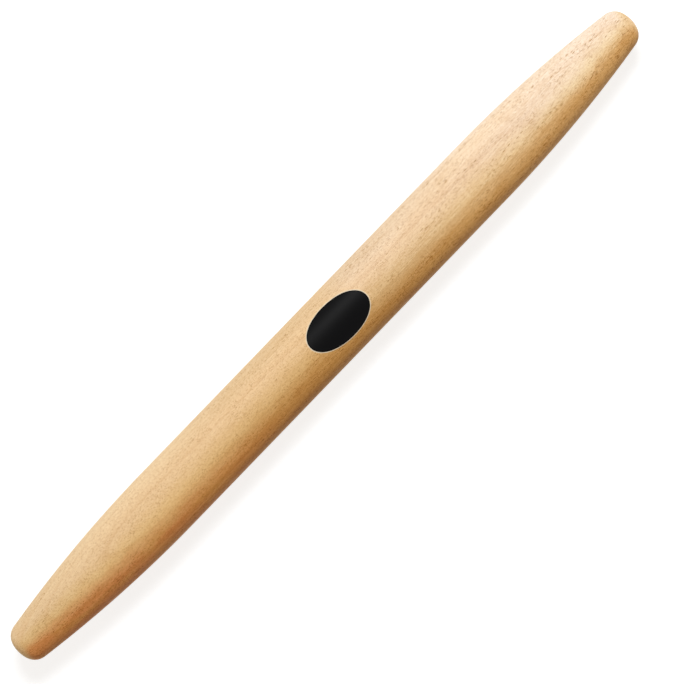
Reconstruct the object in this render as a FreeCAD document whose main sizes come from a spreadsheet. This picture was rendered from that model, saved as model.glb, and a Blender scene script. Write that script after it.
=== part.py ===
import FreeCAD, Part
import math
import os
import Sketcher

# A french rolling pin: one turned beech pin, straight in the middle, tapered to crowned ends,
# with a two-layer oval label stuck on the barrel.
# Frame: millimetres, the pin lies along X on the table at Z = 0, label on top, origin at mid-length.

# Driving dimensions
SIZES = (
    ("pin_length", 450, "end to end, over both crowned ends"),
    ("barrel_diameter", 37.2, "straight middle stretch"),
    ("taper_length", 106, "from the barrel to the corner where the crown starts"),
    ("end_diameter", 21, "at that corner, before it is eased"),
    ("end_crown_height", 3.7, "how far the crowned end stands past the corner"),
    ("end_edge_radius", 8.3, "easing of the corner"),
    ("label_length", 40, "along the pin"),
    ("label_width", 23.5, "around the barrel, measured flat"),
    ("label_offset", -10, "label's middle from the pin's middle, along X"),
    ("label_turn", -2.5, "degrees, how far the label was stuck on askew, seen from above"),
    ("label_margin", 0.5, "pale backing left showing all round the dark face"),
    ("backing_thickness", 0.1, "white self-adhesive film"),
    ("face_thickness", 0.06, "dark gloss film"),
    ("cut_overrun", 2, "how far blanks and cuts run past what they make"),
)

# A sketch's origin is where its level axis starts
ORIGIN = ("level_axis", "start")


def make_sheet(doc):
    """Keep the driving dimensions in a spreadsheet, one aliased cell each."""
    sheet = doc.addObject("Spreadsheet::Sheet", "Sizes")
    for row, (name, value, note) in enumerate(SIZES, start=1):
        sheet.set(f"A{row}", name)
        sheet.set(f"B{row}", str(value))
        sheet.setAlias(f"B{row}", name)
        sheet.set(f"C{row}", note)
    doc.recompute()
    return sheet


def add_sketch(body, plane_role, name):
    """Put a sketch on one of the body's own origin planes."""
    plane = next(item for item in body.Origin.OriginFeatures if item.Role == plane_role)
    sketch = body.newObject("Sketcher::SketchObject", name)
    sketch.AttachmentSupport = (plane, [""])
    sketch.MapMode = "FlatFace"
    return sketch


def numbered(words):
    """Put the sketcher's numbers for the words that name a place on a curve or an axis of the sketch."""
    places = ("edge", "start", "end", "centre")
    axes = ("upright_axis", "level_axis")
    for word in words:
        if word in places:
            yield places.index(word)
        elif word in axes:
            yield axes.index(word) - len(axes)
        else:
            yield word


def relate(sketch, *words):
    """Add a constraint that has no size."""
    return sketch.addConstraint(Sketcher.Constraint(*numbered(words)))


def measure(sketch, name, formula, *words):
    """Add a named dimension and bind it to the sheet."""
    index = relate(sketch, *words)
    sketch.renameConstraint(index, name)
    sketch.setExpression("Constraints." + name, formula)


def arc(centre, radius, start_angle, end_angle):
    circle = Part.Circle(centre, FreeCAD.Vector(0, 0, 1), radius)
    return Part.ArcOfCircle(circle, start_angle, end_angle)


def line(start, end):
    return Part.LineSegment(start, end)


def draw_pin_outline(body, sheet):
    """Upper half of the pin's lengthwise section, closed along the turning axis."""
    half_length = sheet.pin_length / 2
    radius = sheet.barrel_diameter / 2
    end_radius = sheet.end_diameter / 2
    crown = sheet.end_crown_height
    taper = sheet.taper_length
    corner_x = half_length - crown
    barrel_x = corner_x - taper
    drop = radius - end_radius
    taper_radius = (taper ** 2 + drop ** 2) / (2 * drop)
    crown_radius = (end_radius ** 2 + crown ** 2) / (2 * crown)
    taper_angle = math.asin(taper / taper_radius)
    crown_angle = math.asin(end_radius / crown_radius)
    upright = math.pi / 2

    def point(x, y):
        return FreeCAD.Vector(x, y, 0)

    sketch = add_sketch(body, "XZ_Plane", "pin_outline")
    axis = sketch.addGeometry(line(point(-half_length, 0), point(half_length, 0)))
    right_crown = sketch.addGeometry(
        arc(point(half_length - crown_radius, 0), crown_radius, 0, crown_angle))
    right_taper = sketch.addGeometry(
        arc(point(barrel_x, radius - taper_radius), taper_radius, upright - taper_angle, upright))
    barrel = sketch.addGeometry(line(point(barrel_x, radius), point(-barrel_x, radius)))
    left_taper = sketch.addGeometry(
        arc(point(-barrel_x, radius - taper_radius), taper_radius, upright, upright + taper_angle))
    left_crown = sketch.addGeometry(
        arc(point(crown_radius - half_length, 0), crown_radius, math.pi - crown_angle, math.pi))

    # The outline closes on itself, and each taper leaves the barrel without a break
    relate(sketch, "Coincident", axis, "end", right_crown, "start")
    relate(sketch, "Coincident", right_crown, "end", right_taper, "start")
    relate(sketch, "Tangent", right_taper, "end", barrel, "start")
    relate(sketch, "Tangent", barrel, "end", left_taper, "start")
    relate(sketch, "Coincident", left_taper, "end", left_crown, "start")
    relate(sketch, "Coincident", left_crown, "end", axis, "start")

    # Both ends are alike, and the crowns are round about the axis
    relate(sketch, "Horizontal", axis)
    relate(sketch, "Symmetric", axis, "start", axis, "end", *ORIGIN)
    relate(sketch, "Symmetric", barrel, "start", barrel, "end", "upright_axis")
    relate(sketch, "Symmetric", right_taper, "start", left_taper, "end", "upright_axis")
    relate(sketch, "PointOnObject", right_crown, "centre", "level_axis")
    relate(sketch, "PointOnObject", left_crown, "centre", "level_axis")

    measure(sketch, "whole_length", "Sizes.pin_length",
            "DistanceX", axis, "start", axis, "end", 2 * half_length)
    measure(sketch, "barrel_radius", "Sizes.barrel_diameter / 2",
            "DistanceY", *ORIGIN, barrel, "start", radius)
    measure(sketch, "taper_run", "Sizes.taper_length",
            "DistanceX", right_taper, "end", right_taper, "start", taper)
    measure(sketch, "corner_radius", "Sizes.end_diameter / 2",
            "DistanceY", *ORIGIN, right_taper, "start", end_radius)
    measure(sketch, "crown_rise", "Sizes.end_crown_height",
            "DistanceX", right_crown, "end", right_crown, "start", crown)
    return sketch


def make_pin(doc, sheet):
    """Turn the outline about its axis, then ease the corner of each crowned end."""
    body = doc.addObject("PartDesign::Body", "pin")
    outline = draw_pin_outline(body, sheet)
    turned = body.newObject("PartDesign::Revolution", "turned_blank")
    turned.Profile = outline
    turned.ReferenceAxis = (outline, ["H_Axis"])
    turned.Angle = 360
    doc.recompute()

    rounds = [(abs(edge.Curve.Center.x), f"Edge{number}")
              for number, edge in enumerate(turned.Shape.Edges, start=1)
              if not edge.Degenerated and edge.Closed]
    corners = [name for reach, name in sorted(rounds)[-2:]]
    eased = body.newObject("PartDesign::Fillet", "eased_ends")
    eased.Base = (turned, corners)
    eased.setExpression("Radius", "Sizes.end_edge_radius")
    body.Tip = eased
    body.setExpression("Placement.Base.z", "Sizes.barrel_diameter / 2")
    return body


def make_film(doc, sheet, name, inner, thickness, margin):
    """One oval film of the label, curved to the barrel: a half-round strip trimmed to the oval.

    inner, thickness and margin are formulas of the sheet's sizes: the radius that the film lies on,
    its thickness, and how far its outline stays inside the label's.
    """
    body = doc.addObject("PartDesign::Body", name)
    outer = f"{inner} + {thickness}"
    inner_radius = sheet.barrel_diameter / 2
    outer_radius = inner_radius + sheet.backing_thickness
    origin = FreeCAD.Vector(0, 0, 0)
    inner_left, inner_right = FreeCAD.Vector(-inner_radius, 0, 0), FreeCAD.Vector(inner_radius, 0, 0)
    outer_left, outer_right = FreeCAD.Vector(-outer_radius, 0, 0), FreeCAD.Vector(outer_radius, 0, 0)

    section = add_sketch(body, "YZ_Plane", name + "_section")
    over = section.addGeometry(arc(origin, outer_radius, 0, math.pi))
    under = section.addGeometry(arc(origin, inner_radius, 0, math.pi))
    left_edge = section.addGeometry(line(outer_left, inner_left))
    right_edge = section.addGeometry(line(inner_right, outer_right))
    for curve in (over, under):
        relate(section, "Coincident", curve, "centre", *ORIGIN)
    relate(section, "Coincident", over, "end", left_edge, "start")
    relate(section, "Coincident", left_edge, "end", under, "end")
    relate(section, "Coincident", under, "start", right_edge, "start")
    relate(section, "Coincident", right_edge, "end", over, "start")
    for edge in (left_edge, right_edge):
        relate(section, "Horizontal", edge)
    relate(section, "PointOnObject", over, "start", "level_axis")
    relate(section, "PointOnObject", over, "end", "level_axis")
    measure(section, "lies_on", inner, "Radius", under, inner_radius)
    measure(section, "outer_face", outer, "Radius", over, outer_radius)

    strip = body.newObject("PartDesign::Pad", name + "_strip")
    strip.Profile = section
    strip.SideType = "Symmetric"
    strip.setExpression("Length", "Sizes.label_length + 2 * Sizes.cut_overrun")
    doc.recompute()

    trim_outline = add_sketch(body, "XY_Plane", name + "_oval")
    trim_outline.setExpression("AttachmentOffset.Rotation.Angle", "Sizes.label_turn")
    reach = sheet.label_length + outer_radius
    half_long = sheet.label_length / 2
    half_wide = sheet.label_width / 2
    tip, side = FreeCAD.Vector(half_long, 0, 0), FreeCAD.Vector(0, half_wide, 0)
    oval = trim_outline.addGeometry(Part.Ellipse(tip, side, origin))
    trim_outline.exposeInternalGeometry(oval)
    long_axis, short_axis = oval + 1, oval + 2
    waste = trim_outline.addGeometry(Part.Circle(origin, FreeCAD.Vector(0, 0, 1), reach))
    relate(trim_outline, "Coincident", oval, "centre", *ORIGIN)
    relate(trim_outline, "Coincident", waste, "centre", *ORIGIN)
    relate(trim_outline, "Horizontal", long_axis)
    flat_length = f"Sizes.label_length - 2 * {margin}"
    flat_width = f"(Sizes.label_width - 2 * {margin})"
    wrapped_chord = f"Sizes.barrel_diameter * sin({flat_width} / Sizes.barrel_diameter * 1 rad)"
    measure(trim_outline, "oval_length", flat_length, "Distance", long_axis, 2 * half_long)
    measure(trim_outline, "oval_chord", wrapped_chord, "Distance", short_axis, 2 * half_wide)
    measure(trim_outline, "waste_radius", "Sizes.label_length + Sizes.barrel_diameter",
            "Radius", waste, reach)

    trimmed = body.newObject("PartDesign::Pocket", name + "_trimmed")
    trimmed.Profile = trim_outline
    trimmed.Type = "ThroughAll"
    trimmed.Reversed = True
    body.Tip = trimmed
    body.setExpression("Placement.Base.x", "Sizes.label_offset")
    body.setExpression("Placement.Base.z", "Sizes.barrel_diameter / 2")
    doc.recompute()
    if trimmed.Shape.Volume >= strip.Shape.Volume:
        raise RuntimeError(name + " wasn't trimmed to its oval")
    return body


doc = FreeCAD.newDocument("french_rolling_pin")
sheet = make_sheet(doc)
barrel_face = "Sizes.barrel_diameter / 2"
bodies = [
    make_pin(doc, sheet),
    make_film(doc, sheet, "label_backing", barrel_face, "Sizes.backing_thickness", "0"),
    make_film(doc, sheet, "label_face", f"{barrel_face} + Sizes.backing_thickness",
              "Sizes.face_thickness", "Sizes.label_margin"),
]
doc.recompute()

# Nothing is written unless every object and every solid is sound
for item in doc.Objects:
    if "Invalid" in item.State or "Error" in item.State:
        raise RuntimeError(f"{item.Label} failed: {item.State}")
    if item.TypeId == "Sketcher::SketchObject" and not item.FullyConstrained:
        raise RuntimeError(f"{item.Label} isn't fully constrained")
for body in bodies:
    if body.Shape.isNull() or not body.Shape.isValid() or len(body.Shape.Solids) != 1:
        raise RuntimeError(f"{body.Label} isn't one valid solid")

os.makedirs("parts", exist_ok=True)
for body in bodies:
    body.Shape.exportStep(f"parts/{body.Label}.step")
    box = body.Shape.BoundBox
    print(f"{body.Label}: {box.XLength:.2f} x {box.YLength:.2f} x {box.ZLength:.2f} mm")
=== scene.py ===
import math

import bpy
from mathutils import Euler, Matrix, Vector
from mathutils.geometry import intersect_sphere_sphere_2d


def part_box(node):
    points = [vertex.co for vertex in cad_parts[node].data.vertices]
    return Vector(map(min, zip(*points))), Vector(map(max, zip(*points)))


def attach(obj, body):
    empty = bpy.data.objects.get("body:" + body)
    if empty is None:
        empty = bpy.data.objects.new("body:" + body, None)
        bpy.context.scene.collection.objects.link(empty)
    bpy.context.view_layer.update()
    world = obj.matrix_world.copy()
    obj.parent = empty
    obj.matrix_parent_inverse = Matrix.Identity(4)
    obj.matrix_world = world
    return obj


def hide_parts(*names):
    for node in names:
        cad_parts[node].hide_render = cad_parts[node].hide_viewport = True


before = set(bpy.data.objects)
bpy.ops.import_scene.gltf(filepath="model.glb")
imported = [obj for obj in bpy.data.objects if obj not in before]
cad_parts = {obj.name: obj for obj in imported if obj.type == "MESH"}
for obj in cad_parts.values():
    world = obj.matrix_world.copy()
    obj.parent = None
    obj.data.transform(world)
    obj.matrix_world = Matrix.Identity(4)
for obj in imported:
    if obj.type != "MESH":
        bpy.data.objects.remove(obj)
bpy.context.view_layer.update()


# The pin
# One blank of steamed beech, turned between centres: a straight barrel, two long curved tapers
# and crowned ends. It is sanded along the grain and rubbed with oil, with no varnish over it.
MM = 0.001
low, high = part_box("pin")
pin_length = high[0] - low[0]
barrel_radius = (high[2] - low[2]) / 2
taper_length = 106 * MM
end_radius = 10.5 * MM
crown_height = 3.7 * MM
edge_radius = 8.3 * MM
pin_rings = 420
pin_sides = 160
pin_weld = 0.01 * MM


def add(tree, kind, inputs=None, **settings):
    """Add a node with its settings. An input takes a value, a socket or another node's first output."""
    node = tree.nodes.new(kind)
    for name, value in settings.items():
        setattr(node, name, value)
    for name, value in (inputs or {}).items():
        if isinstance(value, bpy.types.Node):
            value = value.outputs[0]
        if isinstance(value, bpy.types.NodeSocket):
            tree.links.new(value, node.inputs[name])
        else:
            node.inputs[name].default_value = value
    return node


def linear(code):
    """Turn an sRGB hex colour into the linear values that the shaders take."""
    channels = [int(code[place:place + 2], 16) / 255 for place in (1, 3, 5)]
    return [c / 12.92 if c <= 0.04045 else ((c + 0.055) / 1.055) ** 2.4 for c in channels] + [1.0]


def make_piece(name, tree, sizes, material):
    """Run a tree with these sizes and this material, and keep what it makes as a plain mesh."""
    maker = bpy.data.objects.new(name + "_maker", bpy.data.meshes.new(name + "_maker"))
    bpy.context.scene.collection.objects.link(maker)
    modifier = maker.modifiers.new(name, "NODES")
    modifier.node_group = tree
    values = {**sizes, "Material": material}
    for socket in tree.interface.items_tree:
        if socket.in_out == "INPUT":
            modifier[socket.identifier] = values[socket.name]
    ready = maker.evaluated_get(bpy.context.evaluated_depsgraph_get())
    mesh = bpy.data.meshes.new_from_object(ready)
    mesh.name = name
    bpy.data.objects.remove(maker)
    piece = bpy.data.objects.new(name, mesh)
    bpy.context.scene.collection.objects.link(piece)
    return piece


# The outline is three arcs, each tangent to the next: taper, eased edge and crown.
half_length = pin_length / 2
barrel_end = half_length - crown_height - taper_length
drop = barrel_radius - end_radius
taper_radius = (taper_length ** 2 + drop ** 2) / (2 * drop)
crown_radius = (end_radius ** 2 + crown_height ** 2) / (2 * crown_height)
taper_centre = Vector((barrel_end, barrel_radius - taper_radius))
crown_centre = Vector((half_length - crown_radius, 0))
edge_centres = intersect_sphere_sphere_2d(
    taper_centre, taper_radius - edge_radius, crown_centre, crown_radius - edge_radius)
edge_centre = max(edge_centres, key=lambda point: point.x)
edge_start = taper_centre + (edge_centre - taper_centre).normalized() * taper_radius
crown_start = crown_centre + (edge_centre - crown_centre).normalized() * crown_radius

turning = bpy.data.node_groups.new("pin_turning", "GeometryNodeTree")
turning_sizes = {
    "Length": pin_length,
    "Barrel Radius": barrel_radius,
    "Barrel End": barrel_end,
    "Taper Radius": taper_radius,
    "Edge Start": edge_start.x,
    "Edge Centre": edge_centre.x,
    "Edge Centre Height": edge_centre.y,
    "Edge Radius": edge_radius,
    "Crown Start": crown_start.x,
    "Crown Centre": crown_centre.x,
    "Crown Radius": crown_radius,
    "Rings": pin_rings,
    "Sides": pin_sides,
}
for name, size in turning_sizes.items():
    kind = "NodeSocketInt" if isinstance(size, int) else "NodeSocketFloat"
    turning.interface.new_socket(name, in_out="INPUT", socket_type=kind)
turning.interface.new_socket("Material", in_out="INPUT", socket_type="NodeSocketMaterial")
turning.interface.new_socket("Pin", in_out="OUTPUT", socket_type="NodeSocketGeometry")
size = add(turning, "NodeGroupInput").outputs

# A line along the lathe's axis, with its points crowded towards both ends.
line = add(turning, "GeometryNodeCurvePrimitiveLine", {"End": (1, 0, 0)})
line = add(turning, "GeometryNodeResampleCurve", {"Curve": line, "Count": size["Rings"]})
share = add(turning, "GeometryNodeSplineParameter")
turn = add(turning, "ShaderNodeMath", {0: share, 1: math.pi}, operation="MULTIPLY")
swing = add(turning, "ShaderNodeMath", {0: turn}, operation="COSINE")
reach = add(turning, "ShaderNodeMath", {0: size["Length"], 1: -0.5}, operation="MULTIPLY")
along = add(turning, "ShaderNodeMath", {0: swing, 1: reach}, operation="MULTIPLY")
place = add(turning, "ShaderNodeCombineXYZ", {"X": along, "Z": size["Barrel Radius"]})
line = add(turning, "GeometryNodeSetPosition", {"Geometry": line, "Position": place})

# The radius at a distance from the middle: barrel and taper, then edge, then crown.
spot = add(turning, "ShaderNodeSeparateXYZ", {0: add(turning, "GeometryNodeInputPosition")})
out = add(turning, "ShaderNodeMath", {0: spot}, operation="ABSOLUTE")
arc_sizes = (
    ("Barrel End", "Taper Radius"),
    ("Edge Centre", "Edge Radius"),
    ("Crown Centre", "Crown Radius"),
)
arcs = []
for centre, radius in arc_sizes:
    past = add(turning, "ShaderNodeMath", {0: out, 1: size[centre]}, operation="SUBTRACT")
    past = add(turning, "ShaderNodeMath", {0: past, 1: 0.0}, operation="MAXIMUM")
    square = add(turning, "ShaderNodeMath", {0: past, 1: past}, operation="MULTIPLY")
    full = add(turning, "ShaderNodeMath", {0: size[radius], 1: size[radius]}, operation="MULTIPLY")
    left = add(turning, "ShaderNodeMath", {0: full, 1: square}, operation="SUBTRACT")
    left = add(turning, "ShaderNodeMath", {0: left, 1: 0.0}, operation="MAXIMUM")
    arcs.append(add(turning, "ShaderNodeMath", {0: left}, operation="SQRT"))
sunk = add(turning, "ShaderNodeMath", {
    0: size["Barrel Radius"], 1: size["Taper Radius"]}, operation="SUBTRACT")
taper = add(turning, "ShaderNodeMath", {0: arcs[0], 1: sunk}, operation="ADD")
edge = add(turning, "ShaderNodeMath", {0: arcs[1], 1: size["Edge Centre Height"]}, operation="ADD")
on_edge = add(turning, "FunctionNodeCompare", {
    "A": out, "B": size["Edge Start"]}, operation="GREATER_THAN")
on_crown = add(turning, "FunctionNodeCompare", {
    "A": out, "B": size["Crown Start"]}, operation="GREATER_THAN")
radius = add(turning, "GeometryNodeSwitch", {
    "Switch": on_edge, "False": taper, "True": edge}, input_type="FLOAT")
radius = add(turning, "GeometryNodeSwitch", {
    "Switch": on_crown, "False": radius, "True": arcs[2]}, input_type="FLOAT")

# A circle of that radius at every point of the line, closed at the two poles.
circle = add(turning, "GeometryNodeCurvePrimitiveCircle", {"Resolution": size["Sides"], "Radius": 1.0})
skin = add(turning, "GeometryNodeCurveToMesh", {"Curve": line, "Profile Curve": circle, "Scale": radius})
skin = add(turning, "GeometryNodeMergeByDistance", {"Geometry": skin, "Distance": pin_weld})
skin = add(turning, "GeometryNodeSetShadeSmooth", {"Geometry": skin})
skin = add(turning, "GeometryNodeRealizeInstances", {"Geometry": skin})
skin = add(turning, "GeometryNodeSetMaterial", {"Geometry": skin, "Material": size["Material"]})
add(turning, "NodeGroupOutput", {"Pin": skin})

# Oiled steamed beech: a pale pinkish tan. Growth rings give soft bands that lean across the barrel,
# rays give short dark dashes along the grain, and the end grain drinks more oil and is darker. The
# shade on the back of the pin is painted into the colour as a yellow and brown tint.
# Its sizes are in millimetres, the pith's slope is in degrees, and the rings' start in rings.
pith_depth = 55.0
pith_aside = -1.5
pith_slope = -1.67
ring_width = 1.27
ring_start = -14.87
ring_wander = 1.0
ring_ripple = 0.2
ray_length, ray_width, ray_depth = 3.4, 0.30, 12.0
fleck_length, fleck_width, fleck_depth = 1.0, 0.34, 5.0
tone_length = 260.0
blend_radius = 3.5
dent_depth = 0.03
pale_wood = "#FCF5EE"
tan_wood = "#F5E1BE"
# Tints of the shade painted towards the back: yellow, then brown, reddish at the tan end.
yellow_shade_tint = "#FAF3D8"
brown_shade_tint = "#EFD6AE"
reddish_shade_tint = "#F1C4A9"
end_grain = "#BE845A"
end_grain_share = 0.08

# The shade across one ring, from its inner edge at 0 to its outer edge at 1.
ring_shades = {0.0: 0.5, 0.06: 0.0, 0.2: 0.15, 0.6: 0.4, 0.92: 1.0, 1.0: 0.5}

# Soft clouds drawn out along the grain: the length and width of one, how many clouds along the
# pattern starts, and how fine and how strong its smaller detail is.
cloud_sizes = {
    "wander": (90.0, 26.0, 0.0, 2.0, 0.5),
    "ripple": (9.0, 3.0, 0.0, 2.0, 0.5),
    "crowd": (24.0, 3.4, 23.0, 2.0, 0.5),
    "fibre": (12.0, 0.46, 0.0, 3.0, 0.6),
    "patch": (26.0, 8.0, 0.0, 2.0, 0.5),
    "band": (60.0, 2.2, 0.0, 1.0, 0.5),
    "nap": (1.2, 0.6, 0.0, 1.0, 0.5),
    "drift": (120.0, 24.0, 0.0, 1.0, 0.5),
}

beech = bpy.data.materials.new("oiled_steamed_beech")
beech.use_nodes = True
wood = beech.node_tree
oiled = wood.nodes["Principled BSDF"]

# The log's own coordinates: X along the pith, which lies below the pin and runs askew to it.
blank = add(wood, "ShaderNodeTexCoord")
log = add(wood, "ShaderNodeMapping", {
    "Vector": blank.outputs["Object"],
    "Location": (0.0, pith_aside, pith_depth - barrel_radius / MM),
    "Rotation": Euler((0.0, 0.0, math.radians(pith_slope))),
    "Scale": (1 / MM, 1 / MM, 1 / MM)})
parts = add(wood, "ShaderNodeSeparateXYZ", {0: log}).outputs
across = add(wood, "ShaderNodeVectorMath", {0: log, 1: (0, 1, 1)}, operation="MULTIPLY")
from_pith = add(wood, "ShaderNodeVectorMath", {0: across}, operation="LENGTH").outputs["Value"]
round_pith = add(wood, "ShaderNodeMath", {0: parts["Y"], 1: parts["Z"]}, operation="ARCTAN2")
arc = add(wood, "ShaderNodeMath", {0: round_pith, 1: pith_depth}, operation="MULTIPLY")
grain = add(wood, "ShaderNodeCombineXYZ", {"X": parts["X"], "Y": arc, "Z": from_pith})
cloud = {}
for name, (length, width, start, detail, rough) in cloud_sizes.items():
    drawn_out = add(wood, "ShaderNodeVectorMath", {
        0: log, 1: (1 / length, 1 / width, 1 / width), 2: (start, 0, 0)}, operation="MULTIPLY_ADD")
    cloud[name] = add(wood, "ShaderNodeTexNoise", {
        "Vector": drawn_out, "Scale": 1.0, "Detail": detail, "Roughness": rough})

# Where a point lies on the pin: along it, out from its middle, and round it, where Y runs from -1
# at the front to 1 at the back and Z from -1 below to 1 above. Near the axis, on the end faces,
# these two shrink to nothing, so that the sides blend there.
spot = add(wood, "ShaderNodeSeparateXYZ", {0: blank.outputs["Object"]}).outputs
out = add(wood, "ShaderNodeMath", {0: spot["X"]}, operation="ABSOLUTE")
height = add(wood, "ShaderNodeMath", {0: spot["Z"], 1: barrel_radius}, operation="SUBTRACT")
radial = add(wood, "ShaderNodeCombineXYZ", {"X": blend_radius * MM, "Y": spot["Y"], "Z": height})
radial = add(wood, "ShaderNodeVectorMath", {0: radial}, operation="NORMALIZE")
radial = add(wood, "ShaderNodeSeparateXYZ", {0: radial}).outputs
upright = add(wood, "ShaderNodeMath", {0: radial["Z"]}, operation="ABSOLUTE")

# How the wood changes over the pin, and where its painted shade falls. Each change runs from one
# place to another, and from one strength to another. The end that the label lies nearer to is at minus
# X.
change_places = {
    "more_rays": (spot["X"], 120 * MM, -200 * MM, 0.6, 2.2, "LINEAR"),
    "straight": (spot["X"], 100 * MM, -120 * MM, 0.2, 1.2, "LINEAR"),
    "banded": (spot["X"], -100 * MM, 100 * MM, 0.4, 1.6, "LINEAR"),
    "reddish": (spot["X"], 10 * MM, 170 * MM, 0.0, 1.0, "LINEAR"),
    "tip": (spot["X"], -100 * MM, 100 * MM, 0.15, -0.12, "LINEAR"),
    "tan": (spot["X"], -32 * MM, -12 * MM, 0.0, 0.32, "SMOOTHSTEP"),
    "tip_shade": (spot["X"], 150 * MM, 210 * MM, 0.0, 0.6, "SMOOTHSTEP"),
    "middle": (out, 130 * MM, 30 * MM, 0.0, 1.0, "SMOOTHSTEP"),
    "shade_near_ends": (out, 150 * MM, 215 * MM, 0.0, 0.24, "LINEAR"),
    "end_face": (out, 218.5 * MM, 224.3 * MM, 0.0, 1.0, "SMOOTHSTEP"),
    "front": (radial["Y"], -0.45, -0.75, 0.0, 1.0, "SMOOTHSTEP"),
    "upper": (radial["Z"], -0.40, 0.45, 0.6, 1.0, "SMOOTHSTEP"),
    "flat_sawn": (upright, 0.1, 0.75, 0.35, 1.0, "LINEAR"),
}
change = {}
for name, (reading, start, end, first, last, curve) in change_places.items():
    limits = {"Value": reading, "From Min": start, "From Max": end, "To Min": first, "To Max": last}
    change[name] = add(wood, "ShaderNodeMapRange", limits, interpolation_type=curve)

# Rings: each wanders slowly, and a fine ripple makes its edges ragged. Every ring has its own tone,
# its own strength of dark late wood towards its outer edge, and its own share of rays.
depth = add(wood, "ShaderNodeMath", {
    0: cloud["wander"], 1: ring_wander, 2: from_pith}, operation="MULTIPLY_ADD")
depth = add(wood, "ShaderNodeMath", {
    0: cloud["ripple"], 1: ring_ripple, 2: depth}, operation="MULTIPLY_ADD")
count = add(wood, "ShaderNodeMath", {
    0: depth, 1: 1 / ring_width, 2: ring_start}, operation="MULTIPLY_ADD")
ring = add(wood, "ShaderNodeMath", {0: count}, operation="FLOOR")
chance = add(wood, "ShaderNodeTexWhiteNoise", {"W": ring}, noise_dimensions="1D")
ring_chance = add(wood, "ShaderNodeSeparateColor", {"Color": chance.outputs["Color"]}).outputs
ring_tone = ring_chance["Red"]
in_ring = add(wood, "ShaderNodeMath", {0: count}, operation="FRACT")
late = add(wood, "ShaderNodeValToRGB", {"Fac": in_ring})
stops = late.color_ramp.elements
for place in list(ring_shades)[1:-1]:
    stops.new(place)
for stop, shade in zip(stops, ring_shades.values()):
    stop.color = (shade, shade, shade, 1)
late = add(wood, "ShaderNodeMath", {0: late, 1: ring_chance["Green"]}, operation="MULTIPLY")
ringed = add(wood, "ShaderNodeMapRange", {"Value": ring_chance["Blue"], "To Min": 0.6, "To Max": 1.5})

# Rays: dark dashes 1 to 3 mm long and 0.1 to 0.2 mm wide, close to their real size. They crowd in
# patches and in some rings, grow stronger towards the label's end, and fade at the front and back,
# where the blank isn't flat-sawn.
ray_cell = add(wood, "ShaderNodeVectorMath", {
    0: grain, 1: (1 / ray_length, 1 / ray_width, 1 / ray_depth)}, operation="MULTIPLY")
rays = add(wood, "ShaderNodeTexVoronoi", {"Vector": ray_cell, "Scale": 1.0, "Randomness": 1.0})
ray_kind = add(wood, "ShaderNodeSeparateColor", {"Color": rays.outputs["Color"]}).outputs
ray_size = add(wood, "ShaderNodeMapRange", {"Value": ray_kind["Green"], "To Min": 1.1, "To Max": 1.6})
ray_edge = add(wood, "ShaderNodeMath", {0: rays.outputs["Distance"], 1: ray_size}, operation="MULTIPLY")
ray = add(wood, "ShaderNodeMapRange", {"Value": ray_edge, "From Min": 0.44, "From Max": 0.24})
ray_here = add(wood, "ShaderNodeMapRange", {
    "Value": ray_kind["Red"], "From Min": 0.35, "From Max": 0.75})
crowd = add(wood, "ShaderNodeMapRange", {
    "Value": cloud["crowd"], "From Min": 0.45, "From Max": 0.64, "To Min": 0.22})
for amount in (ray_here, crowd, ringed, change["more_rays"], change["flat_sawn"]):
    ray = add(wood, "ShaderNodeMath", {0: ray, 1: amount}, operation="MULTIPLY")

# Flecks: the small rays between them, close together and faint. They are drawn about 0.25 mm wide,
# several times as wide as real ones, so that they show.
fleck_cell = add(wood, "ShaderNodeVectorMath", {
    0: grain, 1: (1 / fleck_length, 1 / fleck_width, 1 / fleck_depth)}, operation="MULTIPLY")
flecks = add(wood, "ShaderNodeTexVoronoi", {"Vector": fleck_cell, "Scale": 1.0, "Randomness": 1.0})
fleck_kind = add(wood, "ShaderNodeSeparateColor", {"Color": flecks.outputs["Color"]}).outputs
fleck = add(wood, "ShaderNodeMapRange", {
    "Value": flecks.outputs["Distance"], "From Min": 0.55, "From Max": 0.2})
fleck_here = add(wood, "ShaderNodeMapRange", {
    "Value": fleck_kind["Red"], "From Min": 0.15, "From Max": 0.90})
fleck_crowd = add(wood, "ShaderNodeMath", {0: crowd, 1: 0.5, 2: 0.5}, operation="MULTIPLY_ADD")
for amount in (fleck_here, fleck_crowd):
    fleck = add(wood, "ShaderNodeMath", {0: fleck, 1: amount}, operation="MULTIPLY")

# Fibres: fine streaks along the grain, in patches, and clearer towards the label's end, where the
# grain runs straight. The nap is what sanding leaves between them. Both are drawn about half a
# millimetre wide, far coarser than in real wood, so that they show.
fibre = add(wood, "ShaderNodeMapRange", {"Value": cloud["fibre"], "From Min": 0.38, "From Max": 0.68})
patch = add(wood, "ShaderNodeMapRange", {
    "Value": cloud["patch"], "From Min": 0.35, "From Max": 0.65, "To Min": 0.55, "To Max": 1.45})
for amount in (change["straight"], patch):
    fibre = add(wood, "ShaderNodeMath", {0: fibre, 1: amount}, operation="MULTIPLY")
nap = add(wood, "ShaderNodeMapRange", {"Value": cloud["nap"], "From Min": 0.3, "From Max": 0.7})
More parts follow.
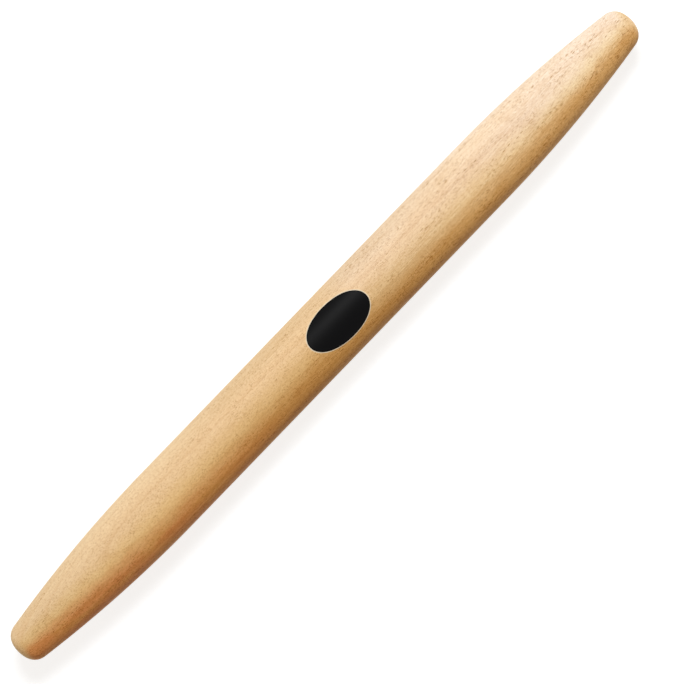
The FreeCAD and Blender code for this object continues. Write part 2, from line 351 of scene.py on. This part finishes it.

# Tone: the wood is pale towards the label's end, and tan from the label on to the other end. Towards
# the back, shade is painted in, yellow and then brown, and it reaches further forward near the ends.
# The painted brown is reddish at the tan end and thins out underneath. An end face, where all the sides
# meet, counts as one side. A neutral painted shade dims the lit front and the yellow round the middle,
# and the unshaded side of the tan tip.
tone = add(wood, "ShaderNodeMath", {
    0: spot["X"], 1: 1 / (tone_length * MM), 2: cloud["drift"]}, operation="MULTIPLY_ADD")
tone = add(wood, "ShaderNodeMapRange", {"Value": tone, "From Min": -0.3, "From Max": 0.7})
side = add(wood, "ShaderNodeMix", {
    "Factor": change["end_face"], "A": radial["Y"], "B": change["tip"]})
side_shifts = (
    (change["shade_near_ends"], 1.0),
    (cloud["drift"], 0.3),
    (cloud["ripple"], 0.2),
    (tone, 0.05),
)
for shift, weight in side_shifts:
    side = add(wood, "ShaderNodeMath", {0: shift, 1: weight, 2: side}, operation="MULTIPLY_ADD")
# Painted shade towards the back of the pin: yellow first, then brown.
yellow_shade = add(wood, "ShaderNodeMapRange", {
    "Value": side, "From Min": -0.11, "From Max": 0.64}, interpolation_type="SMOOTHSTEP")
brown_shade = add(wood, "ShaderNodeMapRange", {
    "Value": side, "From Min": 0.38, "From Max": 1.02}, interpolation_type="SMOOTHSTEP")
brown_shade = add(wood, "ShaderNodeMath", {0: brown_shade, 1: change["upper"]}, operation="MULTIPLY")
unshaded = add(wood, "ShaderNodeMath", {0: 1.0, 1: brown_shade}, operation="SUBTRACT")
reddish = add(wood, "ShaderNodeMath", {
    0: change["reddish"], 1: patch}, operation="MULTIPLY", use_clamp=True)
# Painted shade: a neutral dimming of the lit front and of the yellow round the middle, and of the
# unshaded side of the tan tip.
painted_dimming = add(wood, "ShaderNodeMath", {0: change["front"], 1: yellow_shade}, operation="MAXIMUM")
painted_dimming = add(wood, "ShaderNodeMath", {0: painted_dimming, 1: change["middle"]}, operation="MULTIPLY")
tip_shade = add(wood, "ShaderNodeMath", {0: change["tip_shade"], 1: unshaded}, operation="MULTIPLY")
painted_dimming = add(wood, "ShaderNodeMath", {0: painted_dimming, 1: tip_shade}, operation="MAXIMUM")
tan = add(wood, "ShaderNodeMath", {
    0: change["tan"], 1: unshaded, 2: tone}, operation="MULTIPLY_ADD", use_clamp=True)

colour = add(wood, "ShaderNodeMix", {
    "Factor": tan, 6: linear(pale_wood), 7: linear(tan_wood)}, data_type="RGBA")
colour = add(wood, "ShaderNodeMix", {
    "Factor": yellow_shade, 6: colour.outputs[2], 7: linear(yellow_shade_tint)},
    data_type="RGBA", blend_type="MULTIPLY")
brown_shade_colour = add(wood, "ShaderNodeMix", {
    "Factor": reddish, 6: linear(brown_shade_tint), 7: linear(reddish_shade_tint)}, data_type="RGBA")
colour = add(wood, "ShaderNodeMix", {
    "Factor": brown_shade, 6: colour.outputs[2], 7: brown_shade_colour.outputs[2]},
    data_type="RGBA", blend_type="MULTIPLY")

# The marks, each with its strength, what it grows with, and the tint that it gives the wood. The
# first is the neutral painted shade. The fine ones show more in the painted brown shade, and broad
# bands show only there.
band = add(wood, "ShaderNodeMapRange", {"Value": cloud["band"], "From Min": 0.35, "From Max": 0.65})
band = add(wood, "ShaderNodeMath", {0: band, 1: brown_shade}, operation="MULTIPLY")
shown = add(wood, "ShaderNodeMapRange", {"Value": brown_shade, "To Min": 1.0, "To Max": 1.45})
marks = (
    (painted_dimming, 1.0, 1.0, "#F3EFE9"),
    (ring_tone, 0.35, 1.0, "#F3E6D2"),
    (late, 0.37, 1.0, "#E6D2B8"),
    (band, 0.3, change["banded"], "#E6D6BC"),
    (nap, 0.5, shown, "#ECE0CC"),
    (fibre, 0.52, shown, "#EADBC4"),
    (fleck, 0.66, shown, "#BC9860"),
    (ray, 0.95, shown, "#B48A30"),
)
for mark, strength, growth, tint in marks:
    amount = add(wood, "ShaderNodeMath", {0: mark, 1: strength}, operation="MULTIPLY")
    amount = add(wood, "ShaderNodeMath", {0: amount, 1: growth}, operation="MULTIPLY", use_clamp=True)
    colour = add(wood, "ShaderNodeMix", {
        "Factor": amount, 6: colour.outputs[2], 7: linear(tint)},
        data_type="RGBA", blend_type="MULTIPLY")
ends = add(wood, "ShaderNodeMath", {0: change["end_face"], 1: end_grain_share}, operation="MULTIPLY")
colour = add(wood, "ShaderNodeMix", {
    "Factor": ends, 6: colour.outputs[2], 7: linear(end_grain)}, data_type="RGBA")
wood.links.new(colour.outputs[2], oiled.inputs["Base Color"])

# The surface: oil leaves it satin, and rays and fibres lie a little below it.
rough = add(wood, "ShaderNodeMapRange", {"Value": cloud["fibre"], "To Min": 0.46, "To Max": 0.58})
wood.links.new(rough.outputs[0], oiled.inputs["Roughness"])
oiled.inputs["IOR"].default_value = 1.47
oiled.inputs["Specular IOR Level"].default_value = 0.10
oiled.inputs["Diffuse Roughness"].default_value = 0.6
dents = add(wood, "ShaderNodeMath", {0: ray, 1: 0.6, 2: fibre}, operation="MULTIPLY_ADD")
dents = add(wood, "ShaderNodeBump", {
    "Height": dents, "Strength": 0.25, "Distance": dent_depth * MM}, invert=True)
wood.links.new(dents.outputs[0], oiled.inputs["Normal"])

pin = make_piece("turned_pin", turning, turning_sizes, beech)
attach(pin, "root")
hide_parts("pin")


# The label
# A die-cut oval sticker wrapped onto the barrel: a white vinyl backing that shows as a hairline
# all round, and a smaller oval of plain black film over it.
label_place = -10 * MM
label_turn = math.radians(-2.5)
label_length = 40 * MM
label_width = 23.5 * MM
label_margin = 0.5 * MM
backing_thickness = 0.1 * MM
face_thickness = 0.06 * MM
film_rings = 24
film_sides = 129
film_weld = 0.001 * MM

wrapping = bpy.data.node_groups.new("label_wrapping", "GeometryNodeTree")
for name in ("Length", "Width", "Thickness", "Base Radius", "Barrel Radius", "Place", "Turn"):
    wrapping.interface.new_socket(name, in_out="INPUT", socket_type="NodeSocketFloat")
for name in ("Rings", "Sides"):
    wrapping.interface.new_socket(name, in_out="INPUT", socket_type="NodeSocketInt")
wrapping.interface.new_socket("Material", in_out="INPUT", socket_type="NodeSocketMaterial")
wrapping.interface.new_socket("Film", in_out="OUTPUT", socket_type="NodeSocketGeometry")
size = add(wrapping, "NodeGroupInput").outputs

# The flat oval, as rings that crowd towards the cut edge.
sheet = add(wrapping, "GeometryNodeMeshGrid", {"Vertices X": size["Rings"], "Vertices Y": size["Sides"]})
spot = add(wrapping, "ShaderNodeSeparateXYZ", {0: add(wrapping, "GeometryNodeInputPosition")}).outputs
inner = add(wrapping, "ShaderNodeMath", {0: spot["X"], 1: 0.5}, operation="ADD")
inner = add(wrapping, "ShaderNodeMath", {0: inner, 1: math.pi / 2}, operation="MULTIPLY")
inner = add(wrapping, "ShaderNodeMath", {0: inner}, operation="SINE")
round_oval = add(wrapping, "ShaderNodeMath", {0: spot["Y"], 1: 2 * math.pi}, operation="MULTIPLY")
flat = []
for extent, swing in (("Length", "COSINE"), ("Width", "SINE")):
    swung = add(wrapping, "ShaderNodeMath", {0: round_oval}, operation=swing)
    reach = add(wrapping, "ShaderNodeMath", {0: size[extent], 1: 0.5}, operation="MULTIPLY")
    reach = add(wrapping, "ShaderNodeMath", {0: reach, 1: inner}, operation="MULTIPLY")
    flat.append(add(wrapping, "ShaderNodeMath", {0: swung, 1: reach}, operation="MULTIPLY"))
oval = add(wrapping, "ShaderNodeCombineXYZ", {"X": flat[0], "Y": flat[1]})
oval = add(wrapping, "ShaderNodeVectorRotate", {
    "Vector": oval, "Axis": (0, 0, 1), "Angle": size["Turn"]}, rotation_type="AXIS_ANGLE")
oval = add(wrapping, "ShaderNodeSeparateXYZ", {0: oval}).outputs

# The oval bent round the barrel's axis.
bend = add(wrapping, "ShaderNodeMath", {0: oval["Y"], 1: size["Barrel Radius"]}, operation="DIVIDE")
sideways = add(wrapping, "ShaderNodeMath", {0: bend}, operation="SINE")
upright = add(wrapping, "ShaderNodeMath", {0: bend}, operation="COSINE")
along = add(wrapping, "ShaderNodeMath", {0: oval["X"], 1: size["Place"]}, operation="ADD")
sideways = add(wrapping, "ShaderNodeMath", {0: sideways, 1: size["Base Radius"]}, operation="MULTIPLY")
upright = add(wrapping, "ShaderNodeMath", {
    0: upright, 1: size["Base Radius"], 2: size["Barrel Radius"]}, operation="MULTIPLY_ADD")
place = add(wrapping, "ShaderNodeCombineXYZ", {"X": along, "Y": sideways, "Z": upright})
under = add(wrapping, "GeometryNodeSetPosition", {"Geometry": sheet, "Position": place})
under = add(wrapping, "GeometryNodeMergeByDistance", {"Geometry": under, "Distance": film_weld})

# The film's thickness, closed with a second face below.
raised = add(wrapping, "GeometryNodeExtrudeMesh", {
    "Mesh": under, "Offset Scale": size["Thickness"], "Individual": False})
below = add(wrapping, "GeometryNodeFlipFaces", {"Mesh": under})
film = add(wrapping, "GeometryNodeJoinGeometry", {"Geometry": raised})
wrapping.links.new(below.outputs[0], film.inputs[0])
film = add(wrapping, "GeometryNodeMergeByDistance", {"Geometry": film, "Distance": film_weld})
film = add(wrapping, "GeometryNodeRealizeInstances", {"Geometry": film})
film = add(wrapping, "GeometryNodeSetMaterial", {"Geometry": film, "Material": size["Material"]})
add(wrapping, "NodeGroupOutput", {"Film": film})

# White vinyl film: a matt warm white, with a slight dusting of grey that shows along its cut edge.
dust_size = 0.8 * MM
vinyl = bpy.data.materials.new("white_vinyl_film")
vinyl.use_nodes = True
tree = vinyl.node_tree
matt = tree.nodes["Principled BSDF"]
spot = add(tree, "ShaderNodeTexCoord").outputs
dust = add(tree, "ShaderNodeTexNoise", {"Vector": spot["Object"], "Scale": 1 / dust_size, "Detail": 2.0})
colour = add(tree, "ShaderNodeMix", {
    "Factor": dust, 6: linear("#E6DCC6"), 7: linear("#D8C9AC")}, data_type="RGBA")
tree.links.new(colour.outputs[2], matt.inputs["Base Color"])
matt.inputs["Roughness"].default_value = 0.6

# Black film with a soft gloss: near black, with a faint orange-peel surface that spreads its sheen.
peel_size = 0.9 * MM
peel_depth = 0.02 * MM
black = bpy.data.materials.new("black_gloss_film")
black.use_nodes = True
tree = black.node_tree
gloss = tree.nodes["Principled BSDF"]
spot = add(tree, "ShaderNodeTexCoord").outputs
peel = add(tree, "ShaderNodeTexNoise", {"Vector": spot["Object"], "Scale": 1 / peel_size, "Detail": 2.0})
colour = add(tree, "ShaderNodeMix", {
    "Factor": peel, 6: linear("#030304"), 7: linear("#060607")}, data_type="RGBA")
tree.links.new(colour.outputs[2], gloss.inputs["Base Color"])
rough = add(tree, "ShaderNodeMapRange", {"Value": peel, "To Min": 0.36, "To Max": 0.48})
tree.links.new(rough.outputs[0], gloss.inputs["Roughness"])
gloss.inputs["Specular IOR Level"].default_value = 0.065
bump = add(tree, "ShaderNodeBump", {"Height": peel, "Strength": 0.2, "Distance": peel_depth})
tree.links.new(bump.outputs[0], gloss.inputs["Normal"])

films = (
    ("label_backing_film", "label_backing", "label_film", vinyl, 0.0, 0.0, backing_thickness),
    ("label_black_face", "label_face", "label_black", black, label_margin,
     backing_thickness, face_thickness),
)
for name, node, slot, material, margin, lift, thickness in films:
    film_sizes = {
        "Length": label_length - 2 * margin,
        "Width": label_width - 2 * margin,
        "Thickness": thickness,
        "Base Radius": barrel_radius + lift,
        "Barrel Radius": barrel_radius,
        "Place": label_place,
        "Turn": label_turn,
        "Rings": film_rings,
        "Sides": film_sides,
    }
    film = make_piece(name, wrapping, film_sizes, material)
    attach(film, "root")
    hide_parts(node)


# The floor
# A plain white paper sweep. A glow makes it white to the camera and in reflections, and is weaker in
# the light that it sends to the pin. It keeps the pin's shadow, and away from the pin it fades into
# the white of the surroundings.
floor_reach = 4.0
fade_start = 0.3
fade_end = 0.7
paper_grey = "#A3A8AE"
seen_glow = 0.80
unseen_glow = 0.18


def seen_white(tree):
    """Give 1 to rays from the camera, off gloss and through glass, and 0 to rays of plain light."""
    ray = add(tree, "ShaderNodeLightPath").outputs
    white = add(tree, "ShaderNodeMath", {
        0: ray["Is Camera Ray"], 1: ray["Is Glossy Ray"]}, operation="MAXIMUM")
    return add(tree, "ShaderNodeMath", {0: white, 1: ray["Is Transmission Ray"]}, operation="MAXIMUM")


corners = [(-floor_reach, -floor_reach, 0), (floor_reach, -floor_reach, 0),
           (floor_reach, floor_reach, 0), (-floor_reach, floor_reach, 0)]
floor_mesh = bpy.data.meshes.new("floor")
floor_mesh.from_pydata(corners, [], [(0, 1, 2, 3)])
floor = bpy.data.objects.new("floor", floor_mesh)
bpy.context.scene.collection.objects.link(floor)
paper = bpy.data.materials.new("white_paper_sweep")
paper.use_nodes = True
tree = paper.node_tree
tree.nodes.clear()
white = seen_white(tree)
spot = add(tree, "ShaderNodeTexCoord").outputs
away = add(tree, "ShaderNodeVectorMath", {0: spot["Object"]}, operation="LENGTH").outputs["Value"]
away = add(tree, "ShaderNodeMapRange", {
    "Value": away, "From Min": fade_start, "From Max": fade_end}, interpolation_type="SMOOTHSTEP")
glow = add(tree, "ShaderNodeMapRange", {"Value": white, "To Min": unseen_glow, "To Max": seen_glow})
near = add(tree, "ShaderNodeAddShader", {
    0: add(tree, "ShaderNodeBsdfDiffuse", {"Color": linear(paper_grey)}),
    1: add(tree, "ShaderNodeEmission", {"Strength": glow})})
far = add(tree, "ShaderNodeEmission", {"Strength": white})
sweep = add(tree, "ShaderNodeMixShader", {0: away, 1: near, 2: far})
add(tree, "ShaderNodeOutputMaterial", {"Surface": sweep})
floor_mesh.materials.append(paper)


# The studio light
# A large soft key over the pin's front, nearer the label's end, a low card that lights the face of
# the other end, and a dim warm card behind the label's end that lifts the far rim. A dim warm room
# fills the rest. Each lamp has its place, what it points at, its width and height, watts and colour.
lamps = (
    ("key", (-0.36, -0.47, 1.02), (0.0, 0.0, 0.0), 0.5, 0.35, 12.3, "#FFFFFF"),
    ("card", (0.95, -0.1, 0.13), (0.1, 0.0, 0.02), 0.6, 0.24, 2.2, "#FFFFFF"),
    ("back_card", (-0.6, 0.75, 0.3), (-0.1, 0.0, 0.02), 0.6, 0.5, 1.6, "#FFF0DC"),
)
room_tint = "#FFD7A6"
room_strength = 0.2

for name, place, target, width, height, watts, code in lamps:
    lamp = bpy.data.lights.new(name, "AREA")
    lamp.shape = "RECTANGLE"
    lamp.size = width
    lamp.size_y = height
    lamp.energy = watts
    lamp.color = linear(code)[:3]
    holder = bpy.data.objects.new(name, lamp)
    holder.location = place
    holder.rotation_euler = (Vector(target) - Vector(place)).to_track_quat("-Z", "Y").to_euler()
    holder.visible_camera = False
    bpy.context.scene.collection.objects.link(holder)

room = bpy.data.worlds.new("room")
room.use_nodes = True
bpy.context.scene.world = room
tree = room.node_tree
tree.nodes.clear()
dim = add(tree, "ShaderNodeBackground", {"Color": linear(room_tint), "Strength": room_strength})
bright = add(tree, "ShaderNodeBackground", {"Color": (1, 1, 1, 1), "Strength": 1.0})
both = add(tree, "ShaderNodeMixShader", {0: seen_white(tree), 1: dim, 2: bright})
add(tree, "ShaderNodeOutputWorld", {"Surface": both})
bpy.context.scene.view_settings.view_transform = "Standard"


# The camera
# Straight above the pin with a long lens, rolled so that the pin runs from corner to corner.
# The pin's length, middle and slope in the picture are in pixels and degrees.
photo_width, photo_height = 680, 684
pin_pixels = 879.8
pin_middle = (324.7, 335.55)
pin_slope = 46.0
lens = 150.0
sensor = 36.0
roll = math.radians(180 - pin_slope)
focal_pixels = lens / sensor * photo_height
camera_height = pin_length * focal_pixels / pin_pixels
pixel = pin_length / pin_pixels
to_right = (photo_width / 2 - pin_middle[0]) * pixel
to_top = (pin_middle[1] - photo_height / 2) * pixel
aside = Vector((to_right, to_top, 0))
aside.rotate(Euler((0, 0, roll)))
camera = bpy.data.objects.new("camera", bpy.data.cameras.new("camera"))
camera.data.lens = lens
camera.data.sensor_width = sensor
camera.location = aside + Vector((0, 0, barrel_radius + camera_height))
camera.rotation_euler = (0, 0, roll)
bpy.context.scene.collection.objects.link(camera)
bpy.context.scene.camera = camera
